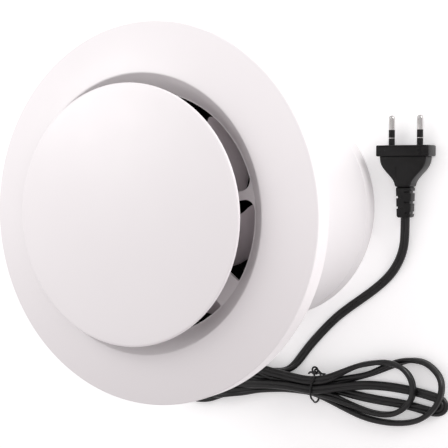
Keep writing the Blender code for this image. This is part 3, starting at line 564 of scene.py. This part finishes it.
def aperture_outline(start, start_width, end, end_width):
    """Opening between two spokes, with straight sides along the spokes and filleted corners."""
    outer_radius = THROAT_RADIUS - APERTURE_LEDGE
    start_fillet, end_fillet = (SHARP_FILLET if width == WIDE_SPOKE_WIDTH else APERTURE_FILLET
                                for width in (start_width, end_width))

    def corner(radius, sign, degrees, half_width, fillet, outer):
        """Centre of the fillet between a spoke's side and a circle about the axis, and its direction."""
        reach = radius - fillet if outer else radius + fillet
        aside = half_width + fillet
        along = math.sqrt(reach ** 2 - aside ** 2)
        lean = sign * math.degrees(math.atan2(aside, along))
        return polar(reach, degrees + lean), degrees + lean

    start_inner, lean_a = corner(WEB_HUB_RADIUS, 1, start, start_width / 2, APERTURE_FILLET, False)
    start_outer, lean_b = corner(outer_radius, 1, start, start_width / 2, start_fillet, True)
    end_outer, lean_c = corner(outer_radius, -1, end, end_width / 2, end_fillet, True)
    end_inner, lean_d = corner(WEB_HUB_RADIUS, -1, end, end_width / 2, APERTURE_FILLET, False)
    span = end - start
    outline = arc(start_inner, APERTURE_FILLET, lean_a + 180, start + 270, FILLET_STEPS)
    outline += arc(start_outer, start_fillet, start - 90, lean_b, FILLET_STEPS)
    outline += arc((0, 0), outer_radius, lean_b, lean_c, round(span / 1.5))[1:-1]
    outline += arc(end_outer, end_fillet, lean_c, end + 90, FILLET_STEPS)
    outline += arc(end_inner, APERTURE_FILLET, end + 90, lean_d + 180, FILLET_STEPS)
    outline += arc((0, 0), WEB_HUB_RADIUS, lean_d, lean_a, round(span / 3))[1:-1]
    return outline


def make_cover():
    """Face plate with its bell-mouthed inlet, spokes and centre web."""
    cover = turned("cover", plate_outline(), ROUND)
    spokes = [(WIDE_SPOKE, WIDE_SPOKE_WIDTH)] + [(angle, NARROW_SPOKE_WIDTH) for angle in NARROW_SPOKES]
    spokes.append((WIDE_SPOKE + 360, WIDE_SPOKE_WIDTH))
    cutters = []
    for (start, start_width), (end, end_width) in zip(spokes, spokes[1:]):
        outline = aperture_outline(start, start_width, end, end_width)
        cutters.append(extruded(f"aperture_{start}", outline, WEB_TOP - CUT_BELOW, WEB_TOP + CUT_ABOVE))
    hole = [(0, SCREW_HOLE_LOW), (SCREW_HOLE_RADIUS, SCREW_HOLE_LOW),
            (SCREW_HOLE_RADIUS, SCREW_HOLE_HIGH), (0, SCREW_HOLE_HIGH)]
    for angle in NARROW_SPOKES:
        cutters.append(turned(f"screw_hole_{angle}", hole, HOLE_FACETS, polar(POST_CIRCLE, angle)))
    carved(cover, cutters)
    return eased(cover, 0.3, 2, 40)


def disc_height(radius):
    """Height of the disc's crowned top at a radius."""
    return DISC_EDGE_TOP + DISC_CROWN * (1 - (radius / DISC_RADIUS) ** 2)


def make_disc():
    """Domed disc with a rounded, turned-down edge and an even thickness."""
    under = DISC_EDGE_TOP - DISC_THICKNESS
    outline = [(0, disc_height(0))]
    outline += [(radius, disc_height(radius)) for radius in range(6, 72, 6)]
    outline += [(71, disc_height(71) - 0.02), (71.6, disc_height(71.4) - 0.08),
                (72.15, DISC_EDGE_TOP - 0.1), (72.55, DISC_EDGE_TOP - 0.4),
                (DISC_RADIUS, DISC_EDGE_TOP - 0.9), (72.75, DISC_EDGE_TOP - 1.4),
                (72.5, under + 0.3), (72.1, under), (70.9, under), (70.6, under + 0.4),
                (70.4, disc_height(70.4) - DISC_THICKNESS)]
    outline += [(radius, disc_height(radius) - DISC_THICKNESS) for radius in range(66, 0, -6)]
    outline.append((0, disc_height(0) - DISC_THICKNESS))
    return turned("disc", outline, ROUND)


# ---------------------------------------------------------------- housing

SPIGOT_RADIUS = 74.5
BORE_RADIUS = 71.5
FLANGE_RADIUS = 105.6
FLANGE_BOTTOM = 146.1
FLANGE_TOP = 148.6
TUBE_TOP = 149.9
CLAMP_GROOVES = (14, 122)
GROOVE_DEPTH = 0.22
GLAND_HOLE_RADIUS = 5.2
GLAND_HOLE_FACETS = 40
WALL_SLOTS = 4
WALL_SLOT_FACETS = 12
WALL_SLOT_CIRCLE = 92
WALL_SLOT_RADIUS = 2.6
WALL_SLOT_LENGTH = 6


def make_shell():
    """Spigot and wall flange in one moulding, with a lead-in at the spigot's end and two fine grooves."""
    outline = [(BORE_RADIUS, 0.9), (BORE_RADIUS + 0.25, 0.35), (BORE_RADIUS + 0.8, 0), (73, 0),
               (73.5, 0.2), (73.9, 0.9), (SPIGOT_RADIUS - 0.1, 2.2), (SPIGOT_RADIUS, 3.4)]
    floor_radius = SPIGOT_RADIUS - GROOVE_DEPTH
    for seat in CLAMP_GROOVES:
        outline += [(SPIGOT_RADIUS, seat), (floor_radius, seat + 0.25), (floor_radius, seat + 0.6),
                    (SPIGOT_RADIUS, seat + 0.85)]
    outline += [(SPIGOT_RADIUS, FLANGE_BOTTOM - 2), (SPIGOT_RADIUS + 0.6, FLANGE_BOTTOM - 0.6),
                (SPIGOT_RADIUS + 2, FLANGE_BOTTOM), (FLANGE_RADIUS - 0.3, FLANGE_BOTTOM),
                (FLANGE_RADIUS, FLANGE_BOTTOM + 0.3), (FLANGE_RADIUS, FLANGE_TOP - 0.3),
                (FLANGE_RADIUS - 0.3, FLANGE_TOP), (SPIGOT_RADIUS, FLANGE_TOP), (SPIGOT_RADIUS, TUBE_TOP),
                (BORE_RADIUS, TUBE_TOP)]
    shell = turned("housing_shell", outline, ROUND)
    hole = [(0, 140), (GLAND_HOLE_RADIUS, 140), (GLAND_HOLE_RADIUS, 155), (0, 155)]
    cutters = [turned("gland_hole", hole, GLAND_HOLE_FACETS, GLAND)]
    notch = block("lead_notch", (70, -4, 146.9), (86, 4, 152))
    notch.data.transform(Matrix.Rotation(math.radians(WIDE_SPOKE), 4, "Z"))
    cutters.append(notch)
    ends = (arc((0, 0), WALL_SLOT_RADIUS, 90, 270, WALL_SLOT_FACETS)
            + arc((WALL_SLOT_LENGTH, 0), WALL_SLOT_RADIUS, -90, 90, WALL_SLOT_FACETS))
    for number in range(WALL_SLOTS):
        angle = 45 + 360 * number / WALL_SLOTS
        slot = extruded(f"wall_slot_{number}", ends, 144, 151)
        x, y = polar(WALL_SLOT_CIRCLE, angle)
        slot.data.transform(Matrix.Translation((x * MM, y * MM, 0))
                            @ Matrix.Rotation(math.radians(angle + 90), 4, "Z"))
        cutters.append(slot)
    return reshaded(carved(shell, cutters), SHARP_ANGLE)


# ---------------------------------------------------------------- impeller

HUB_RADIUS = 35
BLADE_COUNT = 7
BLADE_HIGH = 145.5
BLADE_LOW = 128
BLADE_THICKNESS = 1.8
BLADE_START = -91.4
BLADE_STEP = 1.6
BLADE_STEPS = 14
BLADE_BOW = 0.08
BLADE_EDGE = 0.06
BLADE_EDGE_POWER = 5
BLADE_TIP = 0.55
BLADE_SHARP_ANGLE = 50
WHEEL_SHARP_ANGLE = 40
WHEEL_FACETS = 96
# Plan of a blade: radius, then the angles of its high edge and its low edge.
BLADE_PLAN = ((33.8, -9.5, -50), (40, -7.5, -46), (46, -4.5, -41.5), (52, -1.5, -34), (57, 1.5, -25.5),
              (61.5, 4.6, -18), (64.8, 5.4, -12), (66.5, 3.4, -6))


def make_blade(name, turn):
    """Swept, twisted blade with round edges, as two skins over the plan."""
    plan = smooth_path(BLADE_PLAN, BLADE_STEP)
    bm = bmesh.new()
    skins = []
    for side in (0.5, -0.5):
        skin = []
        for place, (radius, high, low) in enumerate(plan):
            inset = min(1, (len(plan) - 1 - place) / 2)
            row = []
            for step in range(BLADE_STEPS + 1):
                share = step / BLADE_STEPS
                x, y = polar(radius, turn + high + (low - high) * share)
                edge = math.sqrt(max(BLADE_EDGE, 1 - abs(2 * share - 1) ** BLADE_EDGE_POWER))
                edge *= BLADE_TIP + (1 - BLADE_TIP) * inset
                drop = share + BLADE_BOW * math.sin(math.pi * share)
                height = BLADE_HIGH + (BLADE_LOW - BLADE_HIGH) * drop + side * BLADE_THICKNESS * edge
                row.append(bm.verts.new((x * MM, y * MM, height * MM)))
            skin.append(row)
        skins.append(skin)
    top, bottom = skins
    last = len(plan) - 1
    for row in range(last):
        for step in range(BLADE_STEPS):
            for skin in skins:
                here, there = skin[row], skin[row + 1]
                bm.faces.new((here[step], here[step + 1], there[step + 1], there[step]))
        for step in (0, BLADE_STEPS):
            bm.faces.new((top[row][step], top[row + 1][step], bottom[row + 1][step], bottom[row][step]))
    for row in (0, last):
        for step in range(BLADE_STEPS):
            bm.faces.new((top[row][step], top[row][step + 1], bottom[row][step + 1], bottom[row][step]))
    return finished(name, bm, BLADE_SHARP_ANGLE)


def make_fan_wheel():
    """Domed, hollow hub with the blades joined to it."""
    outline = [(0, 146.5), (9, 146.42), (16, 146.2), (22, 145.65), (27, 144.8), (30.5, 143.6),
               (33, 141.9), (34.5, 139.6), (HUB_RADIUS, 137), (HUB_RADIUS, 118.3), (34.7, 118),
               (32.8, 118), (32.5, 118.3), (32.5, 136), (31.4, 139), (29, 140.6), (6.5, 143),
               (6.5, 132), (3.2, 132), (3.2, 142.6), (0, 142.6)]
    wheel = turned("fan_wheel", outline, WHEEL_FACETS)
    blades = [make_blade(f"vane_{number}", BLADE_START + 360 * number / BLADE_COUNT)
              for number in range(BLADE_COUNT)]
    return reshaded(carved(wheel, blades, "UNION"), WHEEL_SHARP_ANGLE)


# ---------------------------------------------------------------- materials

class Surface:
    """A procedural material: a Principled shader with helpers that add texture to it."""

    def __init__(self, name, roughness, metallic=0.0, specular=0.5):
        self.material = bpy.data.materials.new(name)
        self.material.use_nodes = True
        self.tree = self.material.node_tree
        self.shader = self.tree.nodes["Principled BSDF"]
        self.shader.inputs["Metallic"].default_value = metallic
        self.shader.inputs["Roughness"].default_value = roughness
        self.shader.inputs["Specular IOR Level"].default_value = specular
        self.coordinates = self.tree.nodes.new("ShaderNodeTexCoord").outputs["Object"]
        self.height = None
        self.colour_output = None

    def node(self, kind, **values):
        """New node with its settings."""
        made = self.tree.nodes.new(kind)
        for key, value in values.items():
            setattr(made, key, value)
        return made

    def link(self, source, target):
        self.tree.links.new(source, target)

    def noise(self, scale, detail=3, stretch=(1, 1, 1)):
        """Noise with cells about 1 / scale metres across; stretch squeezes them along an axis."""
        mapping = self.node("ShaderNodeMapping")
        mapping.inputs["Scale"].default_value = stretch
        self.link(self.coordinates, mapping.inputs["Vector"])
        noise = self.node("ShaderNodeTexNoise")
        noise.inputs["Scale"].default_value = scale
        noise.inputs["Detail"].default_value = detail
        self.link(mapping.outputs["Vector"], noise.inputs["Vector"])
        return noise.outputs["Fac"]

    def waves(self, scale, kind="BANDS"):
        """Even ridges across the Z axis, as flat bands or as rings."""
        wave = self.node("ShaderNodeTexWave", wave_type=kind, bands_direction="Z", rings_direction="Z")
        wave.inputs["Scale"].default_value = scale
        wave.inputs["Distortion"].default_value = 0
        self.link(self.coordinates, wave.inputs["Vector"])
        return wave.outputs["Fac"]

    def cells(self, scale):
        """Distance to the middle of the nearest cell."""
        voronoi = self.node("ShaderNodeTexVoronoi")
        voronoi.inputs["Scale"].default_value = scale
        self.link(self.coordinates, voronoi.inputs["Vector"])
        return voronoi.outputs["Distance"]

    def remap(self, source, low, high, start=0.3, end=0.7):
        """Spread the source's start to end over low to high."""
        spread = self.node("ShaderNodeMapRange")
        for name, value in (("From Min", start), ("From Max", end), ("To Min", low), ("To Max", high)):
            spread.inputs[name].default_value = value
        self.link(source, spread.inputs["Value"])
        return spread.outputs["Result"]

    def colour(self, source, dark, light, start=0.3, end=0.7):
        """Base colour that runs from dark to light with the source."""
        self.colour_output = self.mixed(self.remap(source, 0, 1, start, end), (*dark, 1), (*light, 1))
        self.link(self.colour_output, self.shader.inputs["Base Color"])

    def mixed(self, factor, first, second):
        """Blend two colours, each a plain colour or a node's output."""
        mix = self.node("ShaderNodeMix", data_type="RGBA")
        self.link(factor, mix.inputs["Factor"])
        for socket, value in ((mix.inputs["A"], first), (mix.inputs["B"], second)):
            if isinstance(value, tuple):
                socket.default_value = value
            else:
                self.link(value, socket)
        return mix.outputs["Result"]

    def speck(self, source, colour, start, end):
        """Lay a colour over the base colour where the source is high."""
        amount = self.remap(source, 0, 1, start, end)
        self.colour_output = self.mixed(amount, self.colour_output, (*colour, 1))
        self.link(self.colour_output, self.shader.inputs["Base Color"])

    def roughness(self, source, low, high):
        """Gloss that varies with the source."""
        self.link(self.remap(source, low, high), self.shader.inputs["Roughness"])

    def bump(self, source, depth):
        """Relief of the given depth in mm, laid on any relief that is there already."""
        bump = self.node("ShaderNodeBump")
        bump.inputs["Distance"].default_value = depth * MM
        bump.inputs["Strength"].default_value = 1
        self.link(source, bump.inputs["Height"])
        if self.height:
            self.link(self.height, bump.inputs["Normal"])
        self.height = bump.outputs["Normal"]
        self.link(self.height, self.shader.inputs["Normal"])


def moulded(name, dark, light, rough, gloss, grain=0.004, specular=0.5, flow=9):
    """Moulded plastic: slow tint from the melt's flow, fine grain, and gloss that wanders a little."""
    surface = Surface(name, rough, specular=specular)
    surface.colour(surface.noise(flow, 4), dark, light)
    surface.roughness(surface.noise(60, 4), gloss, rough)
    surface.bump(surface.noise(1600, 2), grain)
    surface.bump(surface.noise(45, 1), grain * 4)
    return surface


def white_plastic():
    surface = moulded("white plastic", (0.818, 0.784, 0.794), (0.842, 0.812, 0.82), 0.42, 0.33, 0.0025)
    return surface.material


def duct_plastic():
    surface = moulded("duct plastic", (0.80, 0.775, 0.784), (0.83, 0.806, 0.812), 0.5, 0.4, 0.003)
    surface.speck(surface.noise(220, 6), (0.7, 0.68, 0.68), 0.68, 0.95)
    return surface.material


def impeller_plastic():
    surface = moulded("impeller plastic", (0.70, 0.64, 0.665), (0.76, 0.70, 0.72), 0.5, 0.36, 0.003)
    surface.speck(surface.noise(260, 5), (0.6, 0.55, 0.57), 0.62, 0.9)
    return surface.material


def black_plastic():
    surface = moulded("black plastic", (0.006, 0.006, 0.006), (0.011, 0.011, 0.011), 0.44, 0.3, 0.006,
                      0.3)
    surface.speck(surface.noise(700, 3), (0.045, 0.045, 0.045), 0.7, 0.95)
    return surface.material


def plug_plastic():
    surface = moulded("plug vinyl", (0.005, 0.005, 0.005), (0.010, 0.010, 0.010), 0.4, 0.24, 0.014, 0.22)
    surface.speck(surface.noise(520, 5), (0.08, 0.08, 0.08), 0.66, 0.9)
    return surface.material


def cord_sheath():
    surface = moulded("cord sheath", (0.004, 0.004, 0.004), (0.009, 0.009, 0.009), 0.4, 0.27, 0.01, 0.45,
                      flow=60)
    surface.speck(surface.noise(330, 6), (0.05, 0.05, 0.05), 0.68, 0.95)
    surface.bump(surface.noise(240, 2), 0.05)
    return surface.material


def wire_insulation():
    surface = moulded("wire insulation", (0.014, 0.013, 0.013), (0.028, 0.026, 0.025), 0.42, 0.3, 0.004,
                      flow=80)
    surface.speck(surface.noise(500, 4), (0.05, 0.05, 0.05), 0.66, 0.9)
    return surface.material


def foam():
    surface = Surface("foam", 0.95, specular=0.2)
    surface.colour(surface.cells(900), (0.03, 0.03, 0.03), (0.12, 0.12, 0.12), 0.1, 0.7)
    surface.bump(surface.cells(900), 0.4)
    surface.bump(surface.noise(300, 4), 0.2)
    return surface.material


def steel():
    surface = Surface("plated steel", 0.3, 1.0)
    surface.colour(surface.noise(120, 4), (0.50, 0.50, 0.52), (0.68, 0.68, 0.69))
    surface.roughness(surface.noise(300, 5), 0.2, 0.42)
    surface.bump(surface.noise(1200, 3), 0.006)
    return surface.material


def motor_steel():
    surface = Surface("motor steel", 0.34, 1.0)
    surface.colour(surface.noise(50, 5), (0.38, 0.39, 0.41), (0.52, 0.53, 0.55))
    surface.roughness(surface.noise(900, 3, (1, 1, 0.05)), 0.24, 0.45)
    surface.bump(surface.noise(1400, 2, (1, 1, 0.08)), 0.01)
    return surface.material


def lamination():
    surface = Surface("laminated core", 0.5, 1.0)
    surface.colour(surface.waves(320), (0.16, 0.16, 0.18), (0.38, 0.38, 0.4), 0.2, 0.8)
    surface.bump(surface.waves(320), 0.06)
    surface.roughness(surface.noise(200, 4), 0.4, 0.62)
    return surface.material


def copper():
    surface = Surface("enamelled copper", 0.3, 1.0)
    surface.colour(surface.noise(90, 4), (0.5, 0.2, 0.09), (0.76, 0.38, 0.19))
    surface.bump(surface.waves(420, "RINGS"), 0.12)
    surface.bump(surface.waves(420), 0.08)
    surface.roughness(surface.noise(400, 3), 0.22, 0.4)
    return surface.material


def nickel():
    surface = Surface("nickel plate", 0.16, 1.0)
    surface.colour(surface.noise(160, 4), (0.50, 0.49, 0.48), (0.64, 0.63, 0.62))
    surface.roughness(surface.noise(800, 4, (0.1, 1, 1)), 0.07, 0.18)
    surface.bump(surface.noise(1500, 2, (0.06, 1, 1)), 0.004)
    return surface.material


def paint(items, material):
    """Give made pieces one material."""
    for item in items:
        item.data.materials.clear()
        item.data.materials.append(material)


def paint_cad(names, material):
    """Give CAD solids one material in every slot."""
    for name in names:
        item = nodes[name]
        if not item.material_slots:
            item.data.materials.append(material)
        for slot in item.material_slots:
            slot.material = material


# ---------------------------------------------------------------- stage

SKY_TOWARDS = (0.45, 0.3, 0.84)
SKY_DIM = 0.36
SKY_BRIGHT = 0.85
SKY_SHADE = (1, 0.93, 0.955)
FLOOR_REACH = 6
FLOOR_GLOW = 0.25
# Each lamp: name, place and target in mm, size in mm, power in watts.
LAMPS = (("key", (160, 210, 430), (0, 0, 150), 200, 0.5),
         ("side", (480, -900, 260), (0, 0, 90), 400, 4.6))


def make_floor():
    """Wide pale floor that glows a little, so it stays white behind the fan."""
    bm = bmesh.new()
    reach = FLOOR_REACH
    corners = ((-reach, -reach), (reach, -reach), (reach, reach), (-reach, reach))
    bm.faces.new([bm.verts.new((x, y, 0)) for x, y in corners])
    floor = finished("floor", bm)
    surface = Surface("floor paper", 0.9, specular=0.1)
    surface.colour(surface.noise(30, 3), (0.955, 0.955, 0.955), (0.97, 0.97, 0.97))
    surface.bump(surface.noise(300, 3), 0.02)
    surface.shader.inputs["Emission Color"].default_value = (1, 1, 1, 1)
    surface.shader.inputs["Emission Strength"].default_value = FLOOR_GLOW
    paint([floor], surface.material)


def make_sky():
    """Soft light from all round, brighter towards SKY_TOWARDS and slightly tinted away from it."""
    world = bpy.data.worlds.new("studio")
    bpy.context.scene.world = world
    world.use_nodes = True
    sky, link = world.node_tree.nodes, world.node_tree.links.new
    background = sky["Background"]
    facing = sky.new("ShaderNodeVectorMath")
    facing.operation = "DOT_PRODUCT"
    facing.inputs[1].default_value = Vector(SKY_TOWARDS).normalized()
    link(sky.new("ShaderNodeTexCoord").outputs["Generated"], facing.inputs[0])
    strength = sky.new("ShaderNodeMapRange")
    for name, value in (("From Min", -1), ("From Max", 1), ("To Min", SKY_DIM), ("To Max", SKY_BRIGHT)):
        strength.inputs[name].default_value = value
    link(facing.outputs["Value"], strength.inputs["Value"])
    link(strength.outputs["Result"], background.inputs["Strength"])
    tint = sky.new("ShaderNodeMix")
    tint.data_type = "RGBA"
    tint.inputs["A"].default_value = (*SKY_SHADE, 1)
    tint.inputs["B"].default_value = (1, 1, 1, 1)
    link(facing.outputs["Value"], tint.inputs["Factor"])
    link(tint.outputs["Result"], background.inputs["Color"])


def add_light(name, place, target, size, power):
    """Square lamp at a place, facing its target."""
    data = bpy.data.lights.new(name, "AREA")
    data.shape = "SQUARE"
    data.size = size * MM
    data.energy = power
    light = bpy.data.objects.new(name, data)
    bpy.context.scene.collection.objects.link(light)
    place, target = Vector(place) * MM, Vector(target) * MM
    light.location = place
    light.rotation_euler = (target - place).to_track_quat("-Z", "Y").to_euler()


def make_stage():
    make_floor()
    make_sky()
    for lamp in LAMPS:
        add_light(*lamp)
    bpy.context.scene.view_settings.view_transform = "Standard"


# ---------------------------------------------------------------- making

make_camera()
cord, cord_path = make_cord()
tie = make_tie()
gland = make_gland()
plug_body = make_plug_body()
plug_relief = make_plug_relief()
pins = [make_pin(1, PIN_OFFSET), make_pin(2, -PIN_OFFSET)]
cover = make_cover()
disc = make_disc()
shell = make_shell()
wheel = make_fan_wheel()

stands_for(cord, "fan_body", "cord_sheath", "cord_drop", "cord_hank", "cord_lead")
stands_for(tie, "fan_body", "black_plastic", "twist_tie")
stands_for(gland, "fan_body", "black_plastic", "cord_gland")
stands_for(plug_body, "fan_body", "plug_plastic", "plug_body")
stands_for(plug_relief, "fan_body", "plug_plastic", "plug_strain_relief")
for number, (pin, sleeve) in enumerate(pins, 1):
    stands_for(pin, "fan_body", "nickel_plate", f"plug_pin_{number}")
    stands_for(sleeve, "fan_body", "plug_plastic", f"pin_sleeve_{number}")
stands_for(cover, "fan_body", "white_plastic", "face_plate")
stands_for(disc, "fan_body", "white_plastic", "front_disc")
stands_for(shell, "fan_body", "white_plastic", "housing")
stands_for(wheel, "rotor", "impeller_plastic", "impeller")

duct = duct_plastic()
black = black_plastic()
vinyl = plug_plastic()
paint([cover, disc], white_plastic())
paint([shell], duct)
paint([wheel], impeller_plastic())
paint([tie, gland], black)
paint([plug_body, plug_relief] + [sleeve for _, sleeve in pins], vinyl)
paint([pin for pin, _ in pins], nickel())
paint([cord], cord_sheath())
paint_cad(["disc_post_1", "disc_post_2", "disc_post_3"], duct)
paint_cad(["terminal_block", "motor_carrier", "damper_frame", "damper_flap_left", "damper_flap_right"],
          black)
paint_cad(["motor_lead", "supply_cores"], wire_insulation())
paint_cad(["wall_gasket"], foam())
paint_cad(["disc_screw_1", "disc_screw_2", "disc_screw_3", "motor_screw_1", "motor_screw_2",
           "motor_screw_3", "rear_bearing", "front_bearing", "motor_shaft", "hub_clip", "damper_pin",
           "damper_spring_left", "damper_spring_right"], steel())
paint_cad(["motor_can", "motor_end_cap"], motor_steel())
paint_cad(["stator_core", "rotor_core"], lamination())
paint_cad(["rear_winding", "front_winding"], copper())

make_stage()
